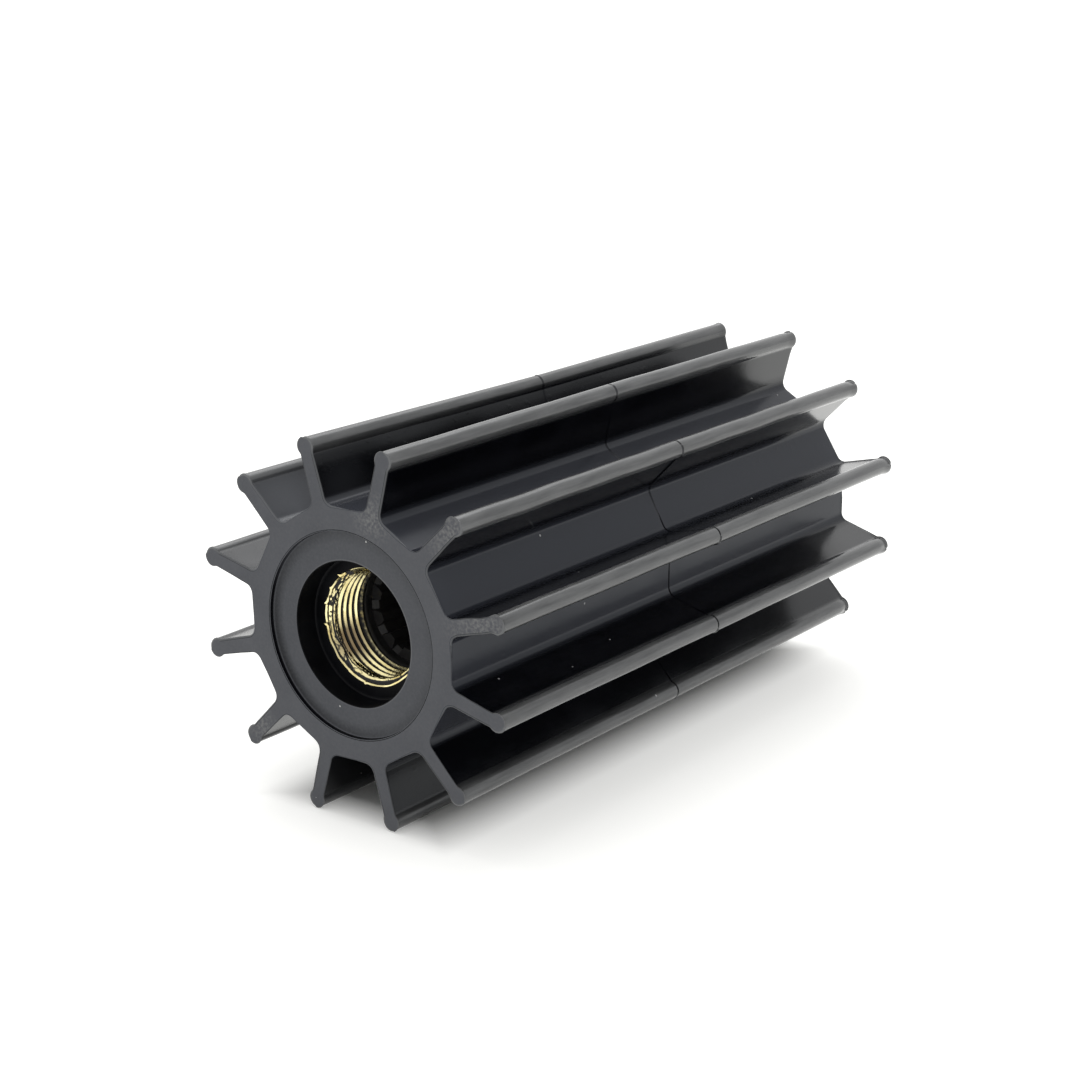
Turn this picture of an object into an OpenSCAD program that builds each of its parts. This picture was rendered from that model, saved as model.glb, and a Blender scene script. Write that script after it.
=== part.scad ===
// Flexible-vane pump impeller: one rubber moulding bonded round a splined brass insert.
// The shaft axis runs along Y, the threaded mouth faces -Y and Z points up.
// The origin is on the shaft axis at half the length, and the part lies on two vane beads.

/* [Rubber moulding] */
// Outside diameter over the beads of the vanes
impeller_d = 94.4; // [88:0.2:120]
// Length along the shaft
impeller_l = 174; // [80:1:240]
// Number of vanes round the hub
vane_count = 12; // [8:1:14]
// Distance across two opposite flats of the hub
hub_across = 61; // [54:1:66]
// Vane thickness where it leaves the hub
vane_root_t = 3.9; // [3.7:0.1:5]
// Vane thickness just below its bead
vane_neck_t = 3.4; // [2.6:0.1:3.7]
// Diameter of the bead along each vane tip
bead_d = 4.5; // [4.2:0.1:7]
// Radius of the fillets where a vane meets the hub
root_fillet_r = 2.6; // [1:0.1:3.5]
// Radius of the fillets where a vane meets its bead
neck_fillet_r = 1.6; // [0.8:0.1:2.5]

/* [Moulding marks] */
// Height of the flash ridge left round the mid-length parting line
flash_h = 0.25; // [0.1:0.05:0.6]
// Width of the flash ridge
flash_w = 0.9; // [0.4:0.1:2]
// Diameter to which each bead swells at the rear end
bead_flare_d = 5.2; // [4.8:0.1:7.5]
// Length of that swelling
bead_flare_l = 4; // [2:0.5:8]

/* [Hub ends] */
// Diameter of the shallow recess in the front face
recess_d = 50; // [42:1:53]
// Depth of the recess
recess_depth = 1.4; // [1:0.1:4]
// Diameter of the rubber bore at each end
mouth_d = 35; // [32:0.5:40]
// Depth from an end face to the rubber lip over the insert
lip_depth = 7.7; // [5:0.1:12]
// Thickness of the rubber lip that skins over each end of the insert
lip_t = 0.5; // [0.3:0.1:2]
// Diameter of the hole in that lip
lip_hole_d = 28.8; // [28.4:0.1:31]

/* [Brass insert] */
// Outside diameter of the insert
insert_d = 38; // [34:0.5:42]
// Crest diameter of the thread in the front end, which takes a puller
thread_crest_d = 25.84; // [24.5:0.02:27]
// Length of the threaded bore with its lead-in
thread_l = 14.6; // [8:0.2:24]
// Diameter of the lead-in chamfer at the mouth of the thread
lead_in_d = 28.4; // [27.2:0.1:28.8]
// Number of spline teeth
spline_teeth = 12; // [8:1:16]
// Diameter across the spline valleys
spline_root_d = 23.4; // [22.4:0.1:24]
// Diameter across the tips of the spline teeth
spline_tip_d = 20.2; // [18:0.1:21]
// Width of a spline tooth at its tip
tooth_tip_w = 1.8; // [1:0.1:2.2]
// Width of a spline tooth at the valley diameter
tooth_root_w = 3.9; // [3:0.1:4.2]

/* [Hidden] */
// Every cut runs past the face it opens by this much
overrun = 1;
// The neck fillets dip this far into flank and bead, so that they cross both cleanly
neck_bite = 0.03;
// Arcs are drawn finely; the small ones need fewer steps
$fn = 96;
fillet_fn = 32;

front_y = -impeller_l / 2;
rear_y = impeller_l / 2;
half_pitch = 180 / vane_count;
hub_r = hub_across / 2;
tip_r = (impeller_d - bead_d) / 2;
// A flank narrows from root to neck, so it leans off the vane's own centre line
flank_taper = atan2((vane_root_t - vane_neck_t) / 2, tip_r - hub_r);
insert_front_y = front_y + lip_depth + lip_t;
insert_rear_y = rear_y - lip_depth - lip_t;
thread_end_y = insert_front_y + thread_l;
// The drilled end of the threaded bore slopes in to the valleys of the spline
shoulder_l = (thread_crest_d - spline_root_d) / 2;
lead_in_l = (lead_in_d - thread_crest_d) / 2;
// Each spline tooth stands this far anticlockwise of a vane, seen from the front
spline_turn = 4;

// One gap between two vanes, drawn with its middle on +Y. Its bottom corners are fillets
// that touch the hub flat and the vane flanks; grow thickens the rubber round it.
module gap_outline(grow) {
    lean = half_pitch + flank_taper;
    flat_y = hub_r + grow;
    fillet_r = root_fillet_r - grow;
    top_y = tip_r + bead_d;
    // Distance of the flank's line from the axis, along the flank's normal
    flank_off = (vane_neck_t / 2 + grow) * cos(flank_taper) + tip_r * sin(flank_taper);
    centre_x = (flank_off + fillet_r - sin(lean) * (flat_y + fillet_r)) / cos(lean);
    centre = [centre_x, flat_y + fillet_r];
    touch = centre - fillet_r * [cos(lean), sin(lean)];
    top_x = (flank_off - sin(lean) * top_y) / cos(lean);
    left = [[centre_x, flat_y], touch, [top_x, top_y]];
    right = [for (p = [left[2], left[1], left[0]]) [-p[0], p[1]]];
    polygon(concat(left, right));
    for (side = [-1, 1])
        translate([side * centre[0], centre[1]])
            circle(r = fillet_r, $fn = fillet_fn);
}

// The fillet on one side of a vane's neck, drawn with the vane along +Y. It fills the
// triangle between bead centre, fillet centre and the vane's middle, less the fillet circle.
module neck_fillet(grow) {
    fillet_r = neck_fillet_r - grow;
    out = [cos(flank_taper), sin(flank_taper)];
    up = [-sin(flank_taper), cos(flank_taper)];
    bead_at = [0, tip_r];
    side = (vane_neck_t / 2 + grow) * cos(flank_taper) + fillet_r - neck_bite;
    reach = bead_d / 2 + grow + fillet_r - neck_bite;
    centre = bead_at + side * out - sqrt(pow(reach, 2) - pow(side, 2)) * up;
    difference() {
        polygon([bead_at, centre, centre - side * out]);
        translate(centre)
            circle(r = fillet_r, $fn = fillet_fn);
    }
}

// Outline of the whole moulding, square to the shaft
module rubber_outline(grow) {
    difference() {
        circle(r = tip_r);
        for (i = [0 : vane_count - 1])
            rotate(i * 2 * half_pitch)
                gap_outline(grow);
    }
    for (i = [0 : vane_count - 1])
        rotate(half_pitch + i * 2 * half_pitch) {
            translate([0, tip_r])
                circle(d = bead_d + 2 * grow, $fn = fillet_fn);
            neck_fillet(grow);
            mirror([1, 0])
                neck_fillet(grow);
        }
}

// An outline extruded along the shaft between two stations
module along_shaft(from_y, to_y) {
    translate([0, to_y, 0])
        rotate([90, 0, 0])
            linear_extrude(height = to_y - from_y)
                children();
}

// A turned length between two stations, plain or conical
module turned(from_y, to_y, from_d, to_d) {
    translate([0, from_y, 0])
        rotate([-90, 0, 0])
            cylinder(h = to_y - from_y, d1 = from_d, d2 = to_d);
}

module rubber_moulding() {
    color([0.19, 0.20, 0.22])
        difference() {
            union() {
                along_shaft(front_y, rear_y)
                    rubber_outline(0);
                along_shaft(-flash_w / 2, flash_w / 2)
                    rubber_outline(flash_h);
                for (i = [0 : vane_count - 1])
                    rotate([0, half_pitch + i * 2 * half_pitch, 0])
                        translate([0, 0, tip_r])
                            turned(rear_y - bead_flare_l, rear_y, bead_d, bead_flare_d);
            }
            turned(front_y - overrun, front_y + recess_depth, recess_d, recess_d);
            turned(front_y - overrun, front_y + lip_depth, mouth_d, mouth_d);
            turned(rear_y - lip_depth, rear_y + overrun, mouth_d, mouth_d);
            turned(front_y, rear_y, lip_hole_d, lip_hole_d);
            turned(insert_front_y, insert_rear_y, insert_d, insert_d);
        }
}

// The space inside the spline: a round hole with the teeth left standing in it
module spline_hole() {
    flank_slope = (tooth_root_w - tooth_tip_w) / (spline_root_d - spline_tip_d);
    base_r = spline_root_d / 2 + overrun;
    base_w = tooth_root_w + 2 * overrun * flank_slope;
    difference() {
        circle(d = spline_root_d);
        for (i = [0 : spline_teeth - 1])
            rotate(spline_turn - half_pitch + i * 360 / spline_teeth)
                polygon([
                    [-tooth_tip_w / 2, spline_tip_d / 2],
                    [tooth_tip_w / 2, spline_tip_d / 2],
                    [base_w / 2, base_r],
                    [-base_w / 2, base_r]
                ]);
    }
}

module brass_insert() {
    color([0.72, 0.57, 0.25])
        difference() {
            turned(insert_front_y, insert_rear_y, insert_d, insert_d);
            turned(insert_front_y, insert_front_y + lead_in_l, lead_in_d, thread_crest_d);
            turned(insert_front_y - overrun, thread_end_y, thread_crest_d, thread_crest_d);
            turned(thread_end_y, thread_end_y + shoulder_l, thread_crest_d, spline_root_d);
            along_shaft(thread_end_y, insert_rear_y + overrun)
                spline_hole();
        }
}

rubber_moulding();
brass_insert();
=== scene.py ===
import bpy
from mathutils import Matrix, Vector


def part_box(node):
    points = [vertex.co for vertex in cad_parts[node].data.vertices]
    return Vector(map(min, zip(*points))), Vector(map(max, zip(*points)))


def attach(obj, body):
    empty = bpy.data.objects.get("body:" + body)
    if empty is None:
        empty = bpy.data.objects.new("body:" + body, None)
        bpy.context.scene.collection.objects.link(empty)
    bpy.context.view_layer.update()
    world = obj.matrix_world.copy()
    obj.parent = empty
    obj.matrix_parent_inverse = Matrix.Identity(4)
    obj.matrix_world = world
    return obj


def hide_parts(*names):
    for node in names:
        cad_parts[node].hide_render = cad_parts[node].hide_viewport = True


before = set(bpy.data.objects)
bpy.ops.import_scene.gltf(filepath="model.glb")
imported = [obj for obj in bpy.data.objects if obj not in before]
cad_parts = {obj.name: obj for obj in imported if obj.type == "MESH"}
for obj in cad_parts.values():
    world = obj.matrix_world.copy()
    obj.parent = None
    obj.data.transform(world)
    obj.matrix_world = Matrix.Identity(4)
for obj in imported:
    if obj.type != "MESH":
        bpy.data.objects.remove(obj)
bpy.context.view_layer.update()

import math
import random

import bmesh
import bpy
from mathutils import Vector, noise
from numpy import interp

# Camera: a short telephoto lens that looks down the right side of the impeller and into
# the threaded mouth of its front end.
camera_data = bpy.data.cameras.new("camera")
camera_data.sensor_fit = "HORIZONTAL"
camera_data.sensor_width = 36.0
camera_data.lens = 73.5493
camera = bpy.data.objects.new("camera", camera_data)
camera.location = (0.326891, -0.443872, 0.167092)
camera.rotation_euler = (math.radians(90 - 16.6207), 0, math.radians(37.2488))
bpy.context.scene.collection.objects.link(camera)
bpy.context.scene.camera = camera

# Rubber moulding: one piece of black rubber with twelve straight vanes round a hub of
# twelve flats. It comes out of a mould that parts at mid-length, so a flash line runs
# round it there, and each end is wiped flat by the mould's end plate.
MM = 0.001
low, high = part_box("rubber_moulding")
front_y = low.y
rear_y = high.y
shaft_axis = Vector((0, 1, 0))
vane_count = 12
half_pitch = math.pi / vane_count
hub_r = 30.5 * MM
tip_r = 44.95 * MM
bead_r = 2.25 * MM
half_neck = 1.7 * MM
half_root = 1.95 * MM
root_fillet_r = 2.6 * MM
neck_fillet_r = 1.6 * MM
flank_taper = math.atan2(half_root - half_neck, tip_r - hub_r)
# Steps in each curve of the section, along the plain lengths and round the bores
root_steps = 7
neck_steps = 4
bead_steps = 12
flank_cuts = 4
plain_steps = 18
round_steps = 168
# Vertices closer than merge_gap are one, and a place is met when it is within a hair
merge_gap = 0.02 * MM
hair = 0.002 * MM


def across(clockwise, length=1.0):
    """A vector square to the shaft, at an angle clockwise from up as the front is seen."""
    return Vector((math.sin(clockwise) * length, 0, math.cos(clockwise) * length))


def vane_angle(vane):
    """The angle at which a vane stands, clockwise from up."""
    return (2 * vane + 1) * half_pitch


def clamped(share):
    """A share, kept between 0 and 1."""
    return min(1, max(0, share))


def arc(bm, start, centre, clockwise, steps):
    """Spins one vertex about a line along the shaft and returns the last one."""
    turned = bmesh.ops.spin(
        bm, geom=[start], cent=centre, axis=shaft_axis, angle=clockwise, steps=steps
    )
    return next(g for g in turned["geom_last"] if isinstance(g, bmesh.types.BMVert))


def vane_outline(bm):
    """Draws the moulding's section: half a gap and half a vane, mirrored and copied round."""
    bead_at = across(half_pitch, tip_r)
    lean = half_pitch + flank_taper
    flank_out = across(lean - math.pi / 2)
    flank_up = across(lean)
    flank_off = flank_out.dot(bead_at) + half_neck * math.cos(flank_taper)
    root_z = hub_r + root_fillet_r
    root_x = (root_z * math.sin(lean) - flank_off - root_fillet_r) / math.cos(lean)
    side = half_neck * math.cos(flank_taper) + neck_fillet_r
    reach = bead_r + neck_fillet_r
    neck_turn = math.acos(side / reach)
    neck_at = bead_at + flank_out * side - flank_up * reach * math.sin(neck_turn)

    flat_middle = bm.verts.new((0, 0, hub_r))
    flat_end = bm.verts.new((root_x, 0, hub_r))
    bm.edges.new((flat_middle, flat_end))
    root_at = Vector((root_x, 0, root_z))
    flank_foot = arc(bm, flat_end, root_at, lean - math.pi / 2, root_steps)
    flank_top = bm.verts.new(neck_at - flank_out * neck_fillet_r)
    flank = bm.edges.new((flank_foot, flank_top))
    bead_foot = arc(bm, flank_top, neck_at, -neck_turn, neck_steps)
    arc(bm, bead_foot, bead_at, math.pi / 2 - flank_taper + neck_turn, bead_steps)
    bmesh.ops.subdivide_edges(bm, edges=[flank], cuts=flank_cuts)
    half_vane = bm.verts[:] + bm.edges[:]
    bmesh.ops.mirror(bm, geom=half_vane, axis="X", merge_dist=merge_gap)
    one_gap = bm.verts[:] + bm.edges[:]
    bmesh.ops.spin(
        bm, geom=one_gap, axis=shaft_axis, angle=2 * math.pi, steps=vane_count, use_duplicate=True
    )
    bmesh.ops.remove_doubles(bm, verts=bm.verts[:], dist=merge_gap)


def moulding_stations():
    """Rows (distance along the shaft, swell of the outline, swell of the beads alone)."""
    front_round = [
        (0, -0.20), (0.04, -0.05), (0.13, 0.07), (0.30, 0.12), (0.50, 0.12), (0.66, 0.02),
    ]
    seam = [(-0.42, 0), (-0.24, 0.12), (-0.05, 0.25), (0.08, 0.25), (0.14, 0.02), (0.26, 0)]
    rear_round = [
        (4.0, 0, 0), (2.6, 0, 0.10), (1.4, 0, 0.21), (0.7, 0, 0.30), (0.35, -0.02, 0.31),
        (0.15, -0.06, 0.27), (0.05, -0.13, 0.20), (0, -0.24, 0.08),
    ]
    front_rows = [(front_y + d * MM, grow * MM, 0) for d, grow in front_round]
    seam_rows = [(d * MM, grow * MM, 0) for d, grow in seam]
    rear_rows = [(rear_y - d * MM, grow * MM, flare * MM) for d, grow, flare in rear_round]
    plain_rows = []
    plain_runs = [(front_rows[-1][0], seam_rows[0][0]), (seam_rows[-1][0], rear_rows[0][0])]
    for start, end in plain_runs:
        step = (end - start) / plain_steps
        plain_rows += [(start + step * n, 0, 0) for n in range(1, plain_steps)]
    return sorted(front_rows + plain_rows + seam_rows + rear_rows)


# Each vane sways in three slight waves: how far in millimetres, over what length, and from
# what point. The waves die out towards the ends, and one vane at the right sways more.
chance = random.Random(12)
one_wave = 6.28
wave_fade = 18 * MM
wavy_vane = 2
wavy_growth = 1.8


def vane_wave():
    """Draws one slight wave."""
    return chance.uniform(0.02, 0.07), chance.uniform(22, 60), chance.uniform(0, one_wave)


vane_waves = [[vane_wave() for wave in range(3)] for vane in range(vane_count)]
# Set that the vanes took in store, in millimetres, clockwise from the top: how far each tip
# leans anticlockwise and how much shorter it stands, at the front, the middle and the rear.
vane_sets = [
    ((0.10, 0.05, 0.0), (0.05, 0.05, 0.30)), ((0.05, 0.0, 0.0), (0.0, 0.0, 0.0)),
    ((0.0, 0.0, 0.0), (0.0, 0.0, 0.05)), ((0.40, 0.2, 0.0), (0.05, 0.0, 0.05)),
    ((0.10, 0.05, 0.0), (0.0, 0.0, 0.0)), ((0.10, 0.05, 0.0), (0.0, 0.0, 0.0)),
    ((0.0, 0.0, 0.0), (0.0, 0.0, 0.0)), ((0.05, 0.0, 0.0), (0.0, 0.0, 0.0)),
    ((0.30, 0.2, 0.1), (0.05, 0.0, 0.0)), ((0.40, 0.4, 0.3), (0.02, 0.0, 0.0)),
    ((0.35, 0.3, 0.3), (0.25, 0.5, 0.3)), ((0.35, 0.3, 0.3), (-0.02, 0.85, 0.62)),
]


def tip_shift(vane, y):
    """How far a vane's tip stands from its true place, since soft vanes are never straight."""
    wave = sum(
        sway * math.sin(y / (length * MM) * one_wave + start)
        for sway, length, start in vane_waves[vane]
    )
    wave *= clamped(min(y - front_y, rear_y - y) / wave_fade)
    wave *= wavy_growth if vane == wavy_vane else 1
    lean, short = (float(interp(y, (front_y, 0, rear_y), places)) for places in vane_sets[vane])
    sideways = across(vane_angle(vane) + math.pi / 2, (wave - lean) * MM)
    return sideways - across(vane_angle(vane), short * MM)


# Flash where the end plate met the mould, heavier on the two vanes at the right, and a small
# tab of it left at the rear end of the first vane's bead.
ragged_length = 0.6 * MM
ragged_grain = 900
ragged_h = 0.05 * MM
heavy_ragged_h = 0.16 * MM
heavy_vanes = (1, 2)
tab_vane = 0
tab_h = 1.0 * MM
tab_length = 0.8 * MM
tab_place = math.radians(118)
tab_half_angle = 0.20


def flash_swell(flat, vane, y, bead_at, on_bead):
    """How far flash stands out from the moulding near its ends."""
    swell = 0
    if y < front_y + ragged_length:
        height = heavy_ragged_h if vane in heavy_vanes else ragged_h
        swell += height * noise.noise((flat + shaft_axis * y) * ragged_grain)
    if vane == tab_vane and y > rear_y - tab_length and on_bead == 1:
        off = math.atan2(flat.x - bead_at.x, flat.z - bead_at.z) - tab_place
        swell += tab_h * math.exp(-((off / tab_half_angle) ** 2))
    return swell


def extruded(bm, edges):
    """Extrudes edges in place, and returns the new edges and the new vertices."""
    made = bmesh.ops.extrude_edge_only(bm, edges=edges)["geom"]
    new_edges = [g for g in made if isinstance(g, bmesh.types.BMEdge)]
    new_verts = [g for g in made if isinstance(g, bmesh.types.BMVert)]
    return new_edges, new_verts


moulding = bmesh.new()
vane_outline(moulding)
section = moulding.verts.layers.float_vector.new("section")
outward = moulding.verts.layers.float_vector.new("outward")
rim_highlight = moulding.verts.layers.float.new("rim_highlight")
# A short wall raised on the section, and taken away again, tells which way is outward.
_, wall_verts = extruded(moulding, moulding.edges[:])
bmesh.ops.translate(moulding, verts=wall_verts, vec=shaft_axis * MM)
moulding.normal_update()
farthest = max(moulding.verts, key=lambda v: v.co.length)
facing = 1 if farthest.normal.dot(farthest.co) > 0 else -1
for v in moulding.verts:
    v[section] = (v.co.x, 0, v.co.z)
    v[outward] = v.normal * facing
bmesh.ops.delete(moulding, geom=wall_verts, context="VERTS")

# The section is drawn along the shaft, ring by ring. Towards a bead its swell sets in over
# bead_blend, and the outer edge of each end is marked for a painted highlight.
bead_blend = 0.8 * MM
rim_highlight_length = 0.2 * MM
ring = moulding.edges[:]
ring_verts = moulding.verts[:]
front_ring = ring
for count, (y, grow, flare) in enumerate(moulding_stations()):
    if count:
        ring, ring_verts = extruded(moulding, ring)
    for v in ring_verts:
        flat = v[section]
        clockwise = math.atan2(flat.x, flat.z) % (2 * math.pi)
        vane = int(clockwise / (2 * half_pitch)) % vane_count
        bead_at = across(vane_angle(vane), tip_r)
        up_vane = clamped((flat.length - hub_r) / (tip_r - hub_r))
        on_bead = clamped((bead_r + bead_blend - (flat - bead_at).length) / bead_blend)
        swell = grow + flare * on_bead + flash_swell(flat, vane, y, bead_at, on_bead)
        v.co = flat + v[outward] * swell + tip_shift(vane, y) * up_vane**2 + shaft_axis * y
        v[rim_highlight] = 1 if min(y - front_y, rear_y - y) < rim_highlight_length else 0
rear_ring = ring

# The bores, the recess and the pocket that holds the insert are turned profiles, written as
# (distance from the end, radius) from the front end inwards and then out to the rear end.
front_profile = [
    (0.00, 25.14), (0.04, 25.05), (0.12, 25.0), (0.80, 24.95), (1.02, 24.85), (1.20, 24.6),
    (1.31, 24.1), (1.37, 23.4), (1.40, 22.6), (1.40, 18.05), (1.40, 17.72), (1.45, 17.56),
    (1.58, 17.5), (7.3, 17.5), (7.48, 17.42), (7.60, 17.25), (7.68, 17.05), (7.7, 16.9),
    (7.7, 14.7), (7.78, 14.48), (7.95, 14.4), (8.2, 14.4), (8.2, 19.0),
]
rear_profile = [
    (8.2, 19.0), (8.2, 14.4), (7.95, 14.4), (7.78, 14.48), (7.7, 14.7), (7.7, 17.0),
    (7.6, 17.2), (7.4, 17.5), (0.3, 17.5), (0.08, 17.62), (0.00, 17.85),
]
front_circle_r = front_profile[0][1] * MM
rear_circle_r = rear_profile[-1][1] * MM
profile = [(front_y + d * MM, r * MM) for d, r in front_profile]
profile += [(rear_y - d * MM, r * MM) for d, r in rear_profile]
line = [moulding.verts.new((0, y, r)) for y, r in profile]
turned_line = line + [moulding.edges.new(pair) for pair in zip(line, line[1:])]
bmesh.ops.spin(
    moulding, geom=turned_line, axis=shaft_axis, angle=2 * math.pi, steps=round_steps, use_merge=True
)

# The edge of the recess floor and the corner over the lip carry a painted highlight, strongest at the
# right.
highlight_edges = [(1.40, 17.72), (7.48, 17.42)]
highlight_towards = math.radians(60)
mean_highlight_share = 0.55
one_sided_share = 0.45
for v in moulding.verts:
    for d, r in highlight_edges:
        at_depth = abs(v.co.y - front_y - d * MM) < 0.01 * MM
        if at_depth and abs(v.co.xz.length - r * MM) < 0.05 * MM:
            from_middle = math.atan2(v.co.x, v.co.z) - highlight_towards
            v[rim_highlight] = mean_highlight_share + one_sided_share * math.cos(from_middle)

# Places in the list of the moulding's materials
skin_slot = 0
end_slot = 1
bore_slot = 2
end_rim_width = 0.22 * MM


def on_circle(v, y, radius):
    """Whether a vertex lies on a circle round the shaft."""
    return abs(v.co.y - y) < hair and abs(v.co.xz.length - radius) < hair


def end_face(ring, y, radius):
    """Fills the flat face between the outline and the turned circle, with a narrow rim."""
    circle = [
        e for e in moulding.edges
        if e.is_boundary and all(on_circle(v, y, radius) for v in e.verts)
    ]
    filled = bmesh.ops.triangle_fill(
        moulding, edges=ring + circle, use_beauty=True, normal=(0, math.copysign(1, y), 0)
    )["geom"]
    faces = [g for g in filled if isinstance(g, bmesh.types.BMFace)]
    bmesh.ops.inset_region(
        moulding, faces=faces, thickness=end_rim_width, use_even_offset=True, use_boundary=True
    )
    for face in faces:
        face.material_index = end_slot
        for v in face.verts:
            v[rim_highlight] = 0


end_face(front_ring, front_y, front_circle_r)
end_face(rear_ring, rear_y, rear_circle_r)
bmesh.ops.recalc_face_normals(moulding, faces=moulding.faces[:])
# The wiped finish covers the recess floor and the outer edge of the recess too, and all that
# lies further in than bore_edge_r is bore.
bore_edge_r = 17.7 * MM
recess_floor_r = 24.75 * MM
recess_floor_depth = 1.5 * MM
recess_edge_depth = 0.1 * MM
for face in moulding.faces:
    face.smooth = True
    middle = face.calc_center_median()
    depth = middle.y - front_y
    out = middle.xz.length
    on_edge = depth < recess_edge_depth and 24.9 * MM < out < 25.2 * MM
    on_floor = depth < recess_floor_depth and bore_edge_r < out < recess_floor_r
    if on_edge or on_floor:
        face.material_index = end_slot
    elif face.material_index == skin_slot and out < bore_edge_r:
        face.material_index = bore_slot
for name in ("section", "outward"):
    moulding.verts.layers.float_vector.remove(moulding.verts.layers.float_vector[name])


def finished(bm, name, sharp_angle):
    """Turns a bmesh into a piece that rides on the impeller."""
    mesh = bpy.data.meshes.new(name)
    bm.to_mesh(mesh)
    bm.free()
    mesh.set_sharp_from_angle(angle=math.radians(sharp_angle))
    piece = bpy.data.objects.new(name, mesh)
    bpy.context.scene.collection.objects.link(piece)
    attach(piece, "root")
    return piece


rubber = finished(moulding, "rubber_impeller", 50)
rubber.modifiers.new("even_shading", "WEIGHTED_NORMAL").keep_sharp = True
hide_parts("rubber_moulding")


def wire(tree, source, target):
    """Joins the output of one shader node to the input of another."""
    tree.links.new(source, target)


def node(tree, kind, **settings):
    """Adds a shader node. Settings named after a socket set that socket."""
    made = tree.nodes.new(kind)
    for key, value in settings.items():
        if hasattr(made, key):
            setattr(made, key, value)
        else:
            made.inputs[key.replace("_", " ")].default_value = value
    return made


def ranged(tree, value, start, end, lowest=0.0, highest=1.0):
    """Goes from the lowest to the highest level while a value goes from start to end."""
    made = node(
        tree, "ShaderNodeMapRange", From_Min=start, From_Max=end, To_Min=lowest, To_Max=highest
    )
    wire(tree, value, made.inputs["Value"])
    return made.outputs[0]


def stretched(tree, coordinates, scale):
    """Coordinates stretched along each axis."""
    mapping = node(tree, "ShaderNodeMapping")
    mapping.inputs["Scale"].default_value = scale
    wire(tree, coordinates, mapping.inputs["Vector"])
    return mapping.outputs[0]


def noise_mask(tree, coordinates, scale, low_end, high_end, stretch=(1, 1, 1), detail=3):
    """A noise pattern on the piece, from 0 below one level to 1 above another."""
    pattern = node(tree, "ShaderNodeTexNoise", Scale=scale, Detail=detail)
    wire(tree, stretched(tree, coordinates, stretch), pattern.inputs["Vector"])
    return ranged(tree, pattern.outputs["Fac"], low_end, high_end)


def mathed(tree, operation, first, second=0):
    """One maths node on two values, each a socket or a number."""
    made = node(tree, "ShaderNodeMath", operation=operation)
    for place, value in enumerate((first, second)):
        if isinstance(value, (int, float)):
            made.inputs[place].default_value = value
        else:
            wire(tree, value, made.inputs[place])
    return made.outputs[0]


def mixed(tree, amount, first, second):
    """A colour that goes from the first to the second as amount goes from 0 to 1."""
    made = node(tree, "ShaderNodeMix", data_type="RGBA")
    wire(tree, amount, made.inputs["Factor"])
    for name, value in (("A", first), ("B", second)):
        socket = next(s for s in made.inputs if s.name == name and s.type == "RGBA")
        if isinstance(value, tuple):
            socket.default_value = (*value, 1)
        else:
            wire(tree, value, socket)
    return next(s for s in made.outputs if s.type == "RGBA")


def layered(tree, colour, layers):
    """Lays colours over one another: each layer has a mask, the most it covers, and a colour."""
    for mask, most, over in layers:
        colour = mixed(tree, mathed(tree, "MULTIPLY", mask, most), colour, over)
    return colour


# Dust: pale specks of mould dust and lint that cling to the rubber, a few to each square
# centimetre. The group gives a mask, and each material says how many specks it has.
dust = bpy.data.node_groups.new("dust_specks", "ShaderNodeTree")
dust.interface.new_socket(name="Vector", in_out="INPUT", socket_type="NodeSocketVector")
dust.interface.new_socket(name="Grain", in_out="INPUT", socket_type="NodeSocketFloat")
dust.interface.new_socket(name="Share", in_out="INPUT", socket_type="NodeSocketFloat")
dust.interface.new_socket(name="Mask", in_out="OUTPUT", socket_type="NodeSocketFloat")
dust_in = node(dust, "NodeGroupInput")
dust_out = node(dust, "NodeGroupOutput")
largest_speck_share = 0.11
cells = node(dust, "ShaderNodeTexVoronoi")
wire(dust, dust_in.outputs["Vector"], cells.inputs["Vector"])
wire(dust, dust_in.outputs["Grain"], cells.inputs["Scale"])
cell_chance = node(dust, "ShaderNodeSeparateColor")
wire(dust, cells.outputs["Color"], cell_chance.inputs["Color"])
picked = mathed(dust, "LESS_THAN", cell_chance.outputs["Red"], dust_in.outputs["Share"])
speck_size = mathed(dust, "MULTIPLY", cell_chance.outputs["Green"], largest_speck_share)
inside = mathed(dust, "LESS_THAN", cells.outputs["Distance"], speck_size)
wire(dust, mathed(dust, "MULTIPLY", picked, inside), dust_out.inputs["Mask"])


def dust_mask(tree, coordinates, grain, share):
    """Places the dust group in a material."""
    made = node(tree, "ShaderNodeGroup", node_tree=dust)
    made.inputs["Grain"].default_value = grain
    made.inputs["Share"].default_value = share
    wire(tree, coordinates, made.inputs["Vector"])
    return made.outputs["Mask"]


def new_material(name):
    """A material with its shader and the piece's own coordinates."""
    material = bpy.data.materials.new(name)
    material.use_nodes = True
    tree = material.node_tree
    shader = tree.nodes["Principled BSDF"]
    coordinates = node(tree, "ShaderNodeTexCoord").outputs["Object"]
    return material, tree, shader, coordinates


def marked(tree, name):
    """A value that the piece's vertices carry."""
    return node(tree, "ShaderNodeAttribute", attribute_name=name).outputs["Fac"]


def bumped(tree, height, depth, shader):
    """Turns a height pattern into relief on the shader."""
    bump = node(tree, "ShaderNodeBump", Strength=1.0, Distance=depth)
    wire(tree, height, bump.inputs["Height"])
    wire(tree, bump.outputs[0], shader.inputs["Normal"])


def from_shaft(tree, coordinates, start, end):
    """0 up to one distance from the shaft axis, and 1 beyond another."""
    length = node(tree, "ShaderNodeVectorMath", operation="LENGTH")
    wire(tree, stretched(tree, coordinates, (1, 0, 1)), length.inputs[0])
    return ranged(tree, length.outputs["Value"], start, end)


def along(tree, coordinates, axis):
    """One of the piece's coordinates."""
    split = node(tree, "ShaderNodeSeparateXYZ")
    wire(tree, coordinates, split.inputs[0])
    return split.outputs[axis]


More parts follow.
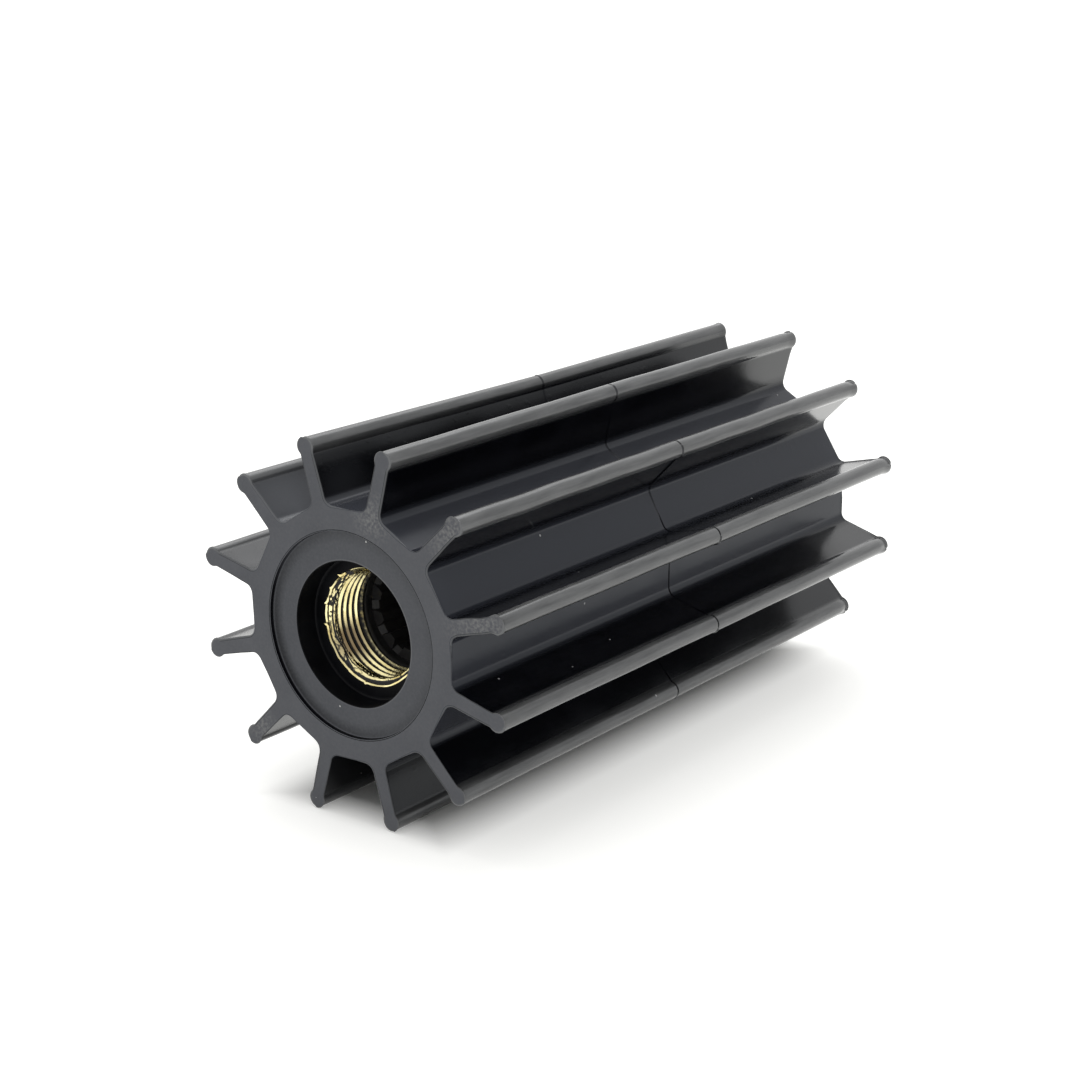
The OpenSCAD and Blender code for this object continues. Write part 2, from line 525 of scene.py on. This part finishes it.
def near(tree, coordinates, place, reach):
    """1 at a place on the piece, fading to 0 at a distance from it."""
    away = node(tree, "ShaderNodeVectorMath", operation="DISTANCE")
    away.inputs[1].default_value = place
    wire(tree, coordinates, away.inputs[0])
    return ranged(tree, away.outputs["Value"], reach, 0)


# Moulded skin: black and glossy on the flanks of the vanes, and rubbed grey in streaks along
# the beads. The hub flats are painted grey and the flanks left near black, which paints the
# shade in the gaps. It has faint smudges, a painted highlight along the rims of the ends, a
# painted shade line along the flash line, and a painted pale reflection on the flanks near
# the front at the upper left.
deep_black = (0.0016, 0.0018, 0.0030)
bloomed_black = (0.0045, 0.0050, 0.0070)
flat_painted_light_grey = (0.036, 0.039, 0.050)
smudge_grey = (0.050, 0.052, 0.058)
reflection_grey = (0.100, 0.104, 0.116)
rubbed_bead_grey = (0.142, 0.144, 0.144)
rim_highlight_grey = (0.20, 0.205, 0.21)
seam_shade_black = (0.004, 0.004, 0.006)
skin_dust = (0.45, 0.45, 0.45)
seam_middle = -0.12 * MM
painted_reflection_at = across(math.radians(319), 34 * MM) + shaft_axis * (front_y + 8 * MM)
skin_relief = 0.012 * MM
skin, tree, shader, coordinates = new_material("moulded_rubber")
shader.inputs["Specular IOR Level"].default_value = 0.21
shader.inputs["Specular Tint"].default_value = (0.88, 0.93, 1.0, 1)
bloom = noise_mask(tree, coordinates, 55, 0.45, 0.75)
smudge = noise_mask(tree, coordinates, 95, 0.60, 0.80, stretch=(1, 0.45, 1), detail=7)
# Painted reflection: a paler patch on the flanks and flats near the front at the upper left.
painted_reflection = near(tree, coordinates, painted_reflection_at, 20 * MM)
rub = noise_mask(tree, coordinates, 420, 0.60, 0.72)
streaks = noise_mask(tree, coordinates, 800, 0.28, 0.72, stretch=(1, 0.11, 1), detail=7)
streaks = mathed(tree, "ADD", mathed(tree, "MULTIPLY", streaks, 0.45), 0.5)
# Painted shade: a dark line along the flash line.
off_seam = mathed(tree, "SUBTRACT", along(tree, coordinates, "Y"), seam_middle)
seam_painted_shade = ranged(tree, mathed(tree, "ABSOLUTE", off_seam), 0.42 * MM, 0.20 * MM)
# Painted light: the hub flats are painted grey against the near-black flanks, for the shade in the
# gaps.
above_flat = from_shaft(tree, coordinates, 30.8 * MM, 33.2 * MM)
on_flat = mathed(tree, "SUBTRACT", 1, above_flat)
on_flat = mathed(tree, "MULTIPLY", on_flat, from_shaft(tree, coordinates, 28.5 * MM, 29.5 * MM))
on_flank = from_shaft(tree, coordinates, 31.8 * MM, 35.0 * MM)
on_bead = from_shaft(tree, coordinates, 42.7 * MM, 44.9 * MM)
skin_colour = layered(tree, mixed(tree, bloom, deep_black, bloomed_black), [
    (on_flat, 0.9, flat_painted_light_grey),
    (smudge, 0.15, smudge_grey),
    (painted_reflection, 1.0, reflection_grey),
    (mathed(tree, "MULTIPLY", on_bead, streaks), 1.0, rubbed_bead_grey),
    # Painted highlight along the rims of the ends
    (marked(tree, "rim_highlight"), 0.55, rim_highlight_grey),
    (seam_painted_shade, 0.8, seam_shade_black),
    (dust_mask(tree, coordinates, 330, 0.03), 1.0, skin_dust),
])
wire(tree, skin_colour, shader.inputs["Base Color"])
wire(tree, ranged(tree, bloom, 0.0, 1.0, 0.19, 0.27), shader.inputs["Roughness"])
shader.inputs["Coat Roughness"].default_value = 0.2
toward_rear = ranged(tree, along(tree, coordinates, "Y"), 35 * MM, 75 * MM)
gloss = mathed(tree, "ADD", mathed(tree, "MULTIPLY", toward_rear, 0.32), 0.08)
gloss = mathed(tree, "ADD", gloss, mathed(tree, "MULTIPLY", on_bead, 0.35))
wire(tree, mathed(tree, "MULTIPLY", on_flank, gloss), shader.inputs["Coat Weight"])
polish = noise_mask(tree, coordinates, 420, 0.3, 0.7, stretch=(1, 0.02, 1), detail=2)
skin_height = mathed(tree, "ADD", mathed(tree, "MULTIPLY", polish, 0.6), rub)
bumped(tree, skin_height, skin_relief, shader)
rubber.data.materials.append(skin)

# End faces: the same rubber, dull and greyed where the end plate wiped it, mottled, with
# painted shade in the recess that is darkest in its lower-left corner, a painted highlight
# along the rims, and pale scuffs near the tips of some vanes.
end_dark_grey = (0.077, 0.081, 0.092)
end_light_grey = (0.096, 0.100, 0.112)
end_patch_grey = (0.112, 0.116, 0.126)
recess_shade_grey = (0.040, 0.043, 0.050)
corner_shade_black = (0.006, 0.007, 0.010)
scuff_grey = (0.24, 0.24, 0.235)
end_rim_highlight_grey = (0.26, 0.265, 0.27)
end_dust = (0.62, 0.62, 0.60)
# Scuffed places: the vane, the distance from the shaft and the reach, in millimetres
scuffed_places = [(1, 43.0, 9.0), (2, 41.0, 12.0), (0, 31.0, 7.0), (7, 41.0, 6.0)]
corner_shade_at = across(math.radians(240), 24 * MM) + shaft_axis * front_y
end_relief = 0.04 * MM
ends, tree, shader, coordinates = new_material("wiped_rubber_end")
shader.inputs["Specular IOR Level"].default_value = 0.4
shader.inputs["Roughness"].default_value = 0.62
mottle = noise_mask(tree, coordinates, 140, 0.30, 0.72, detail=5)
patch = noise_mask(tree, coordinates, 28, 0.35, 0.65)
scuff = noise_mask(tree, coordinates, 1400, 0.40, 0.72, detail=9)
scuffed = 0.08
for vane, out, reach in scuffed_places:
    place = across(vane_angle(vane), out * MM) + shaft_axis * front_y
    scuffed = mathed(tree, "ADD", near(tree, coordinates, place, reach * MM), scuffed)
scuffed = mathed(tree, "MINIMUM", mathed(tree, "MULTIPLY", scuffed, scuff), 0.7)
past_recess = from_shaft(tree, coordinates, 24.5 * MM, 25.0 * MM)
in_rear_half = ranged(tree, along(tree, coordinates, "Y"), 0, MM)
in_recess = mathed(tree, "SUBTRACT", 1, past_recess)
in_recess = mathed(tree, "MULTIPLY", in_recess, mathed(tree, "SUBTRACT", 1, in_rear_half))
# Painted shade in the recess, darkest in its lower-left corner.
in_corner = from_shaft(tree, coordinates, 21.8 * MM, 24.2 * MM)
corner_painted_shade = mathed(tree, "MULTIPLY", in_recess, in_corner)
corner_painted_shade = mathed(tree, "MULTIPLY", corner_painted_shade, near(tree, coordinates, corner_shade_at, 58 * MM))
end_colour = layered(tree, mixed(tree, mottle, end_dark_grey, end_light_grey), [
    (patch, 0.30, end_patch_grey),
    (in_recess, 0.30, recess_shade_grey),
    (corner_painted_shade, 1.0, corner_shade_black),
    (scuffed, 1.0, scuff_grey),
    # Painted highlight along the rims
    (marked(tree, "rim_highlight"), 0.6, end_rim_highlight_grey),
    (dust_mask(tree, coordinates, 420, 0.08), 1.0, end_dust),
])
wire(tree, end_colour, shader.inputs["Base Color"])
grit = noise_mask(tree, coordinates, 1500, 0.3, 0.7, detail=4)
end_height = mathed(tree, "ADD", mathed(tree, "MULTIPLY", grit, 0.4), mottle)
bumped(tree, end_height, end_relief, shader)
rubber.data.materials.append(ends)

# Bores: the rubber inside both ends never met a polished face, so it is a dull deep black,
# with a little lint, and a painted highlight along two edges.
bore_black = (0.0030, 0.0030, 0.0040)
bore_mottle_black = (0.0075, 0.0080, 0.0095)
bore_edge_highlight_grey = (0.09, 0.09, 0.09)
bore_lint = (0.20, 0.20, 0.20)
bore_relief = 0.03 * MM
bore_skin, tree, shader, coordinates = new_material("dull_bore_rubber")
shader.inputs["Specular IOR Level"].default_value = 0.07
shader.inputs["Roughness"].default_value = 0.5
bore_mottle = noise_mask(tree, coordinates, 160, 0.35, 0.75, detail=5)
bore_colour = layered(tree, mixed(tree, bore_mottle, bore_black, bore_mottle_black), [
    # Painted highlight along two edges of the bore
    (marked(tree, "rim_highlight"), 0.5, bore_edge_highlight_grey),
    (dust_mask(tree, coordinates, 420, 0.012), 1.0, bore_lint),
])
wire(tree, bore_colour, shader.inputs["Base Color"])
bumped(tree, bore_mottle, bore_relief, shader)
rubber.data.materials.append(bore_skin)

# Brass insert: a bar bonded into the rubber. A right-handed puller thread is tapped into
# its front end, and twelve broached teeth fill the rest of the bore. The tap tore the
# first turn, so the rim is a ragged burr with a gap behind it, and the grooves carry
# painted shade.
insert_low, insert_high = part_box("brass_insert")
insert_front = insert_low.y
insert_rear = insert_high.y
insert_r = insert_high.x
thread_pitch = 1.95 * MM
crest_r = 12.92 * MM
groove_depth = 1.15 * MM
thread_end = insert_front + 14.6 * MM
mouth_r = 14.0 * MM
# The grooves come up to their full depth over groove_start, and run out before thread_end
groove_start = 0.5 * MM
run_out = 2.0 * MM
teeth = 12
tooth_turn = math.radians(11)
tooth_tip_r = 10.1 * MM
valley_r = 11.7 * MM
half_tooth_tip = 0.9 * MM
half_tooth_base = 1.95 * MM
tooth_slope = 1.2 * MM
steps_per_tooth = 24
flank_steps = 3
brass_steps = teeth * steps_per_tooth
# Cuts square to the shaft give the torn turns enough vertices
cut_spacing = 0.13 * MM
cut_count = 17
weld_gap = 0.005 * MM
snap_gap = 0.02 * MM
thinnest = 0.002 * MM
# One turn of the thread, as (share of the pitch, share of the groove's depth)
thread_form_shares = [
    (0, 0), (0.06, 0), (0.10, 0.07), (0.26, 0.5), (0.42, 0.94), (0.46, 1), (0.54, 1),
    (0.58, 0.94), (0.74, 0.5), (0.90, 0.07), (0.94, 0),
]
# Round the rim, by degrees clockwise from the top: how badly it is torn, and how cracked
tear_places = [0, 22, 90, 125, 200, 235, 280, 292, 332, 335, 360]
tear_shares = [0, 0, 0.7, 1, 1, 0.8, 0.8, 1, 1, 0, 0]
crack_places = [0, 100, 150, 195, 212, 280, 295, 325, 335, 360]
crack_shares = [0, 0.3, 0.1, 0.2, 0.75, 0.75, 0.2, 0.4, 0, 0]
# By the same degrees, in millimetres: the width of the dark gap behind the burr, the depth
# at which the grooves start, and the size of the lead-in across and along the shaft
gap_places = [0, 90, 140, 180, 215, 250, 290, 320, 335, 360]
gap_widths = [0.2, 1.1, 1.35, 0.95, 0.62, 0.42, 0.36, 0.32, 0.2, 0.2]
start_places = [0, 60, 120, 180, 210, 240, 300, 325, 340, 360]
start_depths = [1.1, 1.7, 2.5, 3.1, 2.9, 2.3, 2.4, 2.2, 1.2, 1.1]
lead_in_places = [0, 20, 45, 325, 336, 360]
lead_in_heights = [1.38, 1.38, 1.08, 1.08, 1.38, 1.38]
lead_in_lengths = [1.0, 1.0, 1.08, 1.08, 1.0, 1.0]
plain_lead_in_h = 1.08
# A notch is broken out of the rim here, in degrees
notch_place = 329
notch_half_width = 3.5
# Two long splits run round the torn part of the rim: (depth in millimetres, noise seed)
splits = [(0.85, 11), (1.6, 23)]
split_places = [0, 200, 214, 333, 336]
split_shares = [0, 0, 1, 1, 0]
# The burr stands higher from one place to the next, and has spikes: place in degrees,
# height and half width in millimetres
burr_places = [150, 195]
burr_rise_shares = [0, 1]
spikes = [(262, 0.55, 0.3), (283, 0.45, 0.3), (301, 0.3, 0.5), (320, 0.55, 0.5), (188, 0.3, 0.5)]


def value_at(turn, places, values):
    """A value that changes round the rim."""
    return float(interp(math.degrees(turn) % 360, places, values))


def length_at(turn, places, lengths):
    """A length that changes round the rim, in metres."""
    return value_at(turn, places, lengths) * MM


insert = bmesh.new()
turns = int((thread_end - insert_front) / thread_pitch) + 3
line = [
    insert.verts.new((
        0, insert_front + (turn - 1 + along_share) * thread_pitch, crest_r + depth_share * groove_depth
    ))
    for turn in range(turns)
    for along_share, depth_share in thread_form_shares
]
line += [insert.edges.new(pair) for pair in zip(line, line[1:])]
bmesh.ops.spin(
    insert, geom=line, axis=shaft_axis, dvec=shaft_axis * thread_pitch / brass_steps,
    angle=2 * math.pi, steps=brass_steps,
)
bmesh.ops.remove_doubles(insert, verts=insert.verts[:], dist=weld_gap)
for v in insert.verts:
    y = min(thread_end, max(insert_front, v.co.y))
    out = v.co.xz.length
    turn = math.atan2(v.co.x, v.co.z)
    depth = y - insert_front
    begun = clamped((depth - length_at(turn, start_places, start_depths)) / groove_start + 1)
    fade = clamped((thread_end - run_out - y) / thread_pitch) * begun
    lead_in = length_at(turn, lead_in_places, lead_in_heights)
    lead_in *= max(0, 1 - depth / length_at(turn, lead_in_places, lead_in_lengths))
    out = max(crest_r + (out - crest_r) * fade, crest_r + lead_in)
    if y == thread_end:
        out = crest_r
    v.co = across(turn, out) + shaft_axis * y
bmesh.ops.remove_doubles(insert, verts=insert.verts[:], dist=weld_gap)
bmesh.ops.dissolve_degenerate(insert, edges=insert.edges[:], dist=thinnest)
for v in insert.verts:
    for end in (insert_front, thread_end):
        if abs(v.co.y - end) < snap_gap:
            v.co.y = end
bmesh.ops.remove_doubles(insert, verts=insert.verts[:], dist=snap_gap / 2)
for cut in range(1, cut_count + 1):
    bmesh.ops.bisect_plane(
        insert, geom=insert.verts[:] + insert.edges[:] + insert.faces[:], dist=thinnest,
        plane_co=shaft_axis * (insert_front + cut * cut_spacing), plane_no=shaft_axis,
    )


def torn(turn):
    """How badly the rim is torn at an angle, from 0 to 1."""
    return value_at(turn, tear_places, tear_shares)


def notched(turn):
    """1 in the notch of the rim, and 0 away from it."""
    return math.exp(-(((math.degrees(turn) % 360 - notch_place) / notch_half_width) ** 4))


def rim_noise(turn, grain, level):
    """Noise that changes round the rim and from one level to the next."""
    return noise.noise(Vector((math.sin(turn) * grain, math.cos(turn) * grain, level)))


def rip(turn, depth):
    """Rips in the first turns, long round the bore and short along it, from 0 to 1."""
    worst = math.exp(-(((math.degrees(turn) % 360 - 303) / 22) ** 2))
    level = 0.05 + 0.22 * worst - abs(rim_noise(turn, 5.5, depth / MM * 2.2 + turn * 2.4))
    return clamped(level / 0.06) * clamped((2.2 * MM - depth) / (0.4 * MM))


def split_open(turn, depth):
    """How far a long split is open at a place in the first turns, from 0 to 1."""
    opened = 0
    for at, seed in splits:
        away = abs(depth / MM - at - 0.75 * rim_noise(turn, 2.6, seed))
        opened = max(opened, clamped((0.25 - away) / 0.10))
    return opened * value_at(turn, split_places, split_shares)


# Two values go with each vertex for the brass finish: how much painted shade darkens it, and how
# cracked.
painted_shade = insert.verts.layers.float.new("painted_shade")
tear = insert.verts.layers.float.new("tear")
gap_r_step = 0.5 * MM
rip_r_step = 0.35 * MM
gap_fade = 0.12 * MM
shade_from = 8.6 * MM
shade_fade = 3.6 * MM
cracks_end = 2.6 * MM
for v in insert.verts:
    turn = math.atan2(v.co.x, v.co.z)
    depth = v.co.y - insert_front
    out = v.co.xz.length
    past_lead_in = depth > length_at(turn, lead_in_places, lead_in_lengths)
    in_groove = (out - crest_r) / groove_depth if past_lead_in else 0
    gap_end = length_at(turn, gap_places, gap_widths) * (1 + rim_noise(turn, 4, 7) * 0.3)
    gap = torn(turn) * clamped((gap_end - depth) / gap_fade)
    gap = max(gap, notched(turn) * clamped(2 - depth / MM))
    ripped = max(torn(turn) * rip(turn, depth), split_open(turn, depth))
    out += gap_r_step * gap + rip_r_step * ripped if depth > 0 else 0
    v.co = across(turn, out) + shaft_axis * v.co.y
    deep = clamped((depth - shade_from) / shade_fade)
    v[painted_shade] = max((1 + depth / MM * 0.04) * in_groove, 1.1 * gap, 1.1 * ripped, deep)
    v[tear] = value_at(turn, crack_places, crack_shares) * clamped((cracks_end - depth) / MM)


def rim_edges(bm, y):
    """The open edges of a mesh at one place along the shaft."""
    return [e for e in bm.edges if e.is_boundary and all(abs(v.co.y - y) < hair for v in e.verts)]


def pulled(bm, edges, place, shade_level=0):
    """Extrudes a ring of edges and puts each new vertex where place() says."""
    new_edges, new_verts = extruded(bm, edges)
    for v in new_verts:
        v.co = place(v.co)
        v[painted_shade] = shade_level
        v[tear] *= 0.2
    return new_edges


def ring_at(y, radius):
    """A rule that puts a vertex on a circle, at the angle it has."""
    return lambda co: across(math.atan2(co.x, co.z), radius) + shaft_axis * y


def straight_to(y):
    """A rule that carries a vertex straight along the shaft."""
    return lambda co: Vector((co.x, y, co.z))


def burr_at(radius, rise, spike_lean, lead_in_share):
    """A rule for the ragged burr round the rim, in millimetres: its radius, how much higher
    it stands on its raised part, how far spikes lean out, and how far it follows the lead-in."""
    def place(co):
        turn = math.atan2(co.x, co.z)
        spot = Vector((math.sin(turn) * 14, math.cos(turn) * 14, 1))
        rough = 0.5 + noise.noise(spot * 0.4) + 0.3 * noise.noise(spot * 1.1)
        raised = rise * value_at(turn, burr_places, burr_rise_shares)
        stand = torn(turn) * (0.12 + raised + 0.24 * max(0, rough)) - 0.9 * notched(turn)
        lean = torn(turn) * 0.22 * noise.noise(spot * 0.45 + shaft_axis * radius)
        wider = value_at(turn, lead_in_places, lead_in_heights) - plain_lead_in_h
        lean += max(0, wider) * lead_in_share
        for at, height, half_width in spikes:
            across_rim = math.radians(math.degrees(turn) % 360 - at) * mouth_r / MM
            spike = height * max(0, 1 - abs(across_rim) / half_width)
            stand += spike
            lean += spike * spike_lean
        return across(turn, (radius + lean) * MM) + shaft_axis * (insert_front - stand * MM)
    return place


def spline_at(valley_y, tooth_y):
    """A rule that puts a vertex on the outline of the spline."""
    tip_steps = steps_per_tooth // 4 - 1
    base_steps = tip_steps + flank_steps
    half_tip = math.atan2(half_tooth_tip, tooth_tip_r)
    half_base = math.atan2(half_tooth_base, valley_r)

    def place(co):
        pitch = 2 * math.pi / teeth
        turn = math.atan2(co.x, co.z) - tooth_turn
        tooth = round(turn / pitch)
        step = round((turn / pitch - tooth) * steps_per_tooth)
        side = math.copysign(1, step)
        if abs(step) <= tip_steps:
            off = half_tip * abs(step) / tip_steps
            radius = tooth_tip_r
        elif abs(step) < base_steps:
            up = (abs(step) - tip_steps) / flank_steps
            off = half_tip + (half_base - half_tip) * up
            radius = tooth_tip_r + (valley_r - tooth_tip_r) * up
        else:
            left = (abs(step) - base_steps) / (steps_per_tooth / 2 - base_steps)
            off = half_base + (pitch / 2 - half_base) * left
            radius = valley_r
        y = tooth_y if radius < valley_r else valley_y
        return across(tooth * pitch + tooth_turn + side * off, radius) + shaft_axis * y
    return place


# From the thread the bore goes on through the spline to the rear face, and from the burr the
# outside goes round the rim and along the bar to the same face. The painted shade thins out
# at the rear.
bright_from = insert_rear - 16 * MM
inner_rings = [
    (spline_at(thread_end + tooth_slope, thread_end), 1),
    (straight_to(bright_from), 1),
    (straight_to(insert_rear - 0.15 * MM), 0.44),
    (straight_to(insert_rear), 0.46),
]
outer_rings = [
    (burr_at(14.01, -0.05, 0.2, 1), 0),
    (burr_at(14.36, 0.24, 1, 0), 0),
    (ring_at(insert_front, 14.45 * MM), 0),
    (ring_at(insert_front, insert_r), 1),
    (ring_at(insert_rear, insert_r), 1),
    (ring_at(insert_rear, 14.5 * MM), 0.80),
    (ring_at(insert_rear, 13.4 * MM), 0.50),
]
inner = rim_edges(insert, thread_end)
for place, shade_level in inner_rings:
    inner = pulled(insert, inner, place, shade_level)
outer = rim_edges(insert, insert_front)
for place, shade_level in outer_rings:
    outer = pulled(insert, outer, place, shade_level)
bmesh.ops.bridge_loops(insert, edges=inner + outer)
bmesh.ops.recalc_face_normals(insert, faces=insert.faces[:])
for face in insert.faces:
    face.smooth = True
brass_insert = finished(insert, "brass_insert_body", 30)
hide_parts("brass_insert")

# Machined brass: bright and pale where the tap cut it, in rings of finer and coarser
# tool marks, with a painted brown reflection low at the left of the mouth, dark cracks in
# the torn rim, and dull near-black painted shade in the grooves, the torn gaps and deep in the bore.
bright_brass = (1.0, 0.90, 0.50)
tarnished_brass = (0.66, 0.53, 0.20)
tool_mark_brown = (0.45, 0.31, 0.11)
dark_reflection_brown = (0.115, 0.068, 0.042)
shade_black = (0.018, 0.0175, 0.018)
dark_reflection_at = across(math.radians(238), 13.2 * MM) + shaft_axis * (insert_front + 4.8 * MM)
brass_relief = 0.02 * MM
brass, tree, shader, coordinates = new_material("machined_brass")
tarnish = noise_mask(tree, coordinates, 420, 0.50, 0.72, stretch=(0.35, 1, 0.35), detail=5)
rings = noise_mask(tree, coordinates, 2600, 0.35, 0.70, stretch=(0.05, 1, 0.05), detail=3)
# Painted reflection: a brown patch low at the left of the mouth.
dark_reflection = mathed(tree, "MULTIPLY", near(tree, coordinates, dark_reflection_at, 7.5 * MM), 1.4)
dark_reflection = mathed(tree, "MINIMUM", dark_reflection, 0.85)
speckle = noise_mask(tree, coordinates, 1300, 0.2, 0.8, detail=4)
uneven = mathed(tree, "MULTIPLY", mathed(tree, "SUBTRACT", speckle, 0.5), 0.22)
shade_level = mathed(tree, "ADD", marked(tree, "painted_shade"), uneven)
crack_level = noise_mask(tree, coordinates, 240, 0, 1, stretch=(1, 5.5, 1), detail=1.5)
crack_level = mathed(tree, "ABSOLUTE", mathed(tree, "SUBTRACT", crack_level, 0.5))
cracks = ranged(tree, crack_level, 0.050, 0.022)
cracked = mathed(tree, "MULTIPLY", cracks, marked(tree, "tear"))
# Painted shade, with the cracks: near black where the marked shade is high.
shade_or_crack = mathed(tree, "MAXIMUM", ranged(tree, shade_level, 0.50, 0.72), cracked)
brass_colour = layered(tree, mixed(tree, tarnish, bright_brass, tarnished_brass), [
    (rings, 0.18, tool_mark_brown),
    (dark_reflection, 1.0, dark_reflection_brown),
    (shade_or_crack, 1.0, shade_black),
])
wire(tree, brass_colour, shader.inputs["Base Color"])
bare = mathed(tree, "SUBTRACT", 1, mathed(tree, "MULTIPLY", shade_or_crack, 0.9))
wire(tree, bare, shader.inputs["Metallic"])
wire(tree, ranged(tree, shade_or_crack, 0.0, 1.0, 0.15, 0.55), shader.inputs["Roughness"])
brass_height = mathed(tree, "ADD", mathed(tree, "MULTIPLY", rings, 0.6), speckle)
bumped(tree, brass_height, brass_relief, shader)
brass_insert.data.materials.append(brass)

# Table top: a plain pale sheet that the impeller lies on. Seen by the camera, and mirrored
# in the brass, it glows white, but the glow is left out in a band under the impeller, which
# paints a darker shadow there.
table_reach = 12
floor_mesh = bmesh.new()
bmesh.ops.create_grid(floor_mesh, x_segments=1, y_segments=1, size=table_reach)
bmesh.ops.translate(floor_mesh, verts=floor_mesh.verts[:], vec=(0, 0, low.z))
floor_data = bpy.data.meshes.new("floor")
floor_mesh.to_mesh(floor_data)
floor_mesh.free()
floor = bpy.data.objects.new("floor", floor_data)
bpy.context.scene.collection.objects.link(floor)


def seen_directly(tree):
    """1 for rays from the camera, from a mirror or through glass, and 0 for others."""
    paths = node(tree, "ShaderNodeLightPath").outputs
    mirrored = mathed(tree, "MAXIMUM", paths["Is Glossy Ray"], paths["Is Transmission Ray"])
    return mathed(tree, "MAXIMUM", paths["Is Camera Ray"], mirrored)


table_grey = (0.60, 0.60, 0.60)
table_white = (0.86, 0.86, 0.84)
table_glow = 0.46
table_top, tree, shader, coordinates = new_material("pale_table_top")
shader.inputs["Roughness"].default_value = 0.9
shader.inputs["Specular IOR Level"].default_value = 0.0
shader.inputs["Emission Color"].default_value = (1, 1, 0.985, 1)
seen = seen_directly(tree)
wire(tree, mixed(tree, seen, table_grey, table_white), shader.inputs["Base Color"])
off_middle = mathed(tree, "ABSOLUTE", along(tree, coordinates, "X"))
off_centre = mathed(tree, "ABSOLUTE", along(tree, coordinates, "Y"))
beside = ranged(tree, off_middle, 15 * MM, 31 * MM)
beyond = ranged(tree, off_centre, 76 * MM, 90 * MM)
# Painted shadow: no glow under the impeller, so the floor is darker there.
outside_painted_shadow = mathed(tree, "MAXIMUM", beside, beyond)
white = mathed(tree, "MULTIPLY", mathed(tree, "MULTIPLY", outside_painted_shadow, table_glow), seen)
wire(tree, white, shader.inputs["Emission Strength"])
floor_data.materials.append(table_top)

# Light: an even white surround, and one very wide soft lamp high up behind and to the left.
# Rays that light the object get three quarters of the surround's strength.
surround_strength = 0.75
world = bpy.data.worlds.new("studio")
world.use_nodes = True
bpy.context.scene.world = world
tree = world.node_tree
surround = tree.nodes["Background"]
surround.inputs["Color"].default_value = (1, 1, 1, 1)
extra = mathed(tree, "MULTIPLY", seen_directly(tree), 1 - surround_strength)
wire(tree, mathed(tree, "ADD", extra, surround_strength), surround.inputs["Strength"])

lamp_data = bpy.data.lights.new("wide_lamp", "SUN")
lamp_data.angle = math.radians(60)
lamp_data.energy = 1.2
lamp = bpy.data.objects.new("wide_lamp", lamp_data)
lamp.rotation_euler = Vector((0.42, -0.40, -1.0)).to_track_quat("-Z", "Y").to_euler()
bpy.context.scene.collection.objects.link(lamp)

bpy.context.scene.view_settings.view_transform = "Standard"
